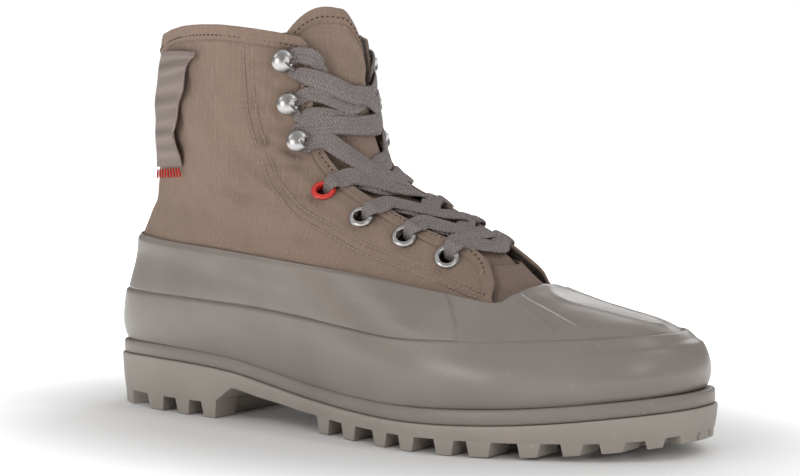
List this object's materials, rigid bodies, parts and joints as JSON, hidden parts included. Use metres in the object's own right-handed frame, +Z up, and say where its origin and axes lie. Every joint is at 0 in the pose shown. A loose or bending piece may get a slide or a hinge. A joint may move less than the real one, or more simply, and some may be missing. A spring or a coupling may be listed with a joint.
{
  "type": "high-top winter boot",
  "caption": "Right high-top winter boot with a canvas upper in a rubber shell, a lugged rubber sole, eyelets, lace hooks and flat laces.",
  "frame": {"origin": "centre of the box round the boot, on the floor under its lugs", "axes": "+X towards the toe, +Y towards the inner (medial) side, +Z up"},
  "size_m": [0.3, 0.1026, 0.1784],
  "materials": {
    "upper": "taupe ripstop canvas",
    "tongue": "taupe canvas",
    "rubber_shell": "smooth semi-gloss moulded rubber",
    "midsole": "smooth moulded rubber bead",
    "outsole": "satin moulded rubber",
    "insole": "brushed fabric over foam",
    "laces": "flat woven lace",
    "pull_tab": "ribbed grosgrain tape",
    "steel": "polished",
    "red": "gloss enamel"
  },
  "bodies": {
    "root": {"eyelet_lateral_1": "steel", "eyelet_lateral_2": "steel", "eyelet_lateral_3": "steel", "eyelet_lateral_4": "red", "eyelet_medial_1": "steel", "eyelet_medial_2": "steel", "eyelet_medial_3": "steel", "eyelet_medial_4": "red", "hook_lateral_1": "steel", "hook_lateral_2": "steel", "hook_lateral_3": "steel", "hook_medial_1": "steel", "hook_medial_2": "steel", "hook_medial_3": "steel", "insole": "insole", "lace_bar": "laces", "lace_cross_1": "laces", "lace_cross_2": "laces", "lace_cross_3": "laces", "lace_cross_4": "laces", "lace_cross_5": "laces", "lace_cross_6": "laces", "midsole": "midsole", "outsole": "outsole", "pull_tab": "pull_tab", "rubber_shell": "rubber_shell", "tongue": "tongue", "upper": "upper"}
  },
  "joints": []
}
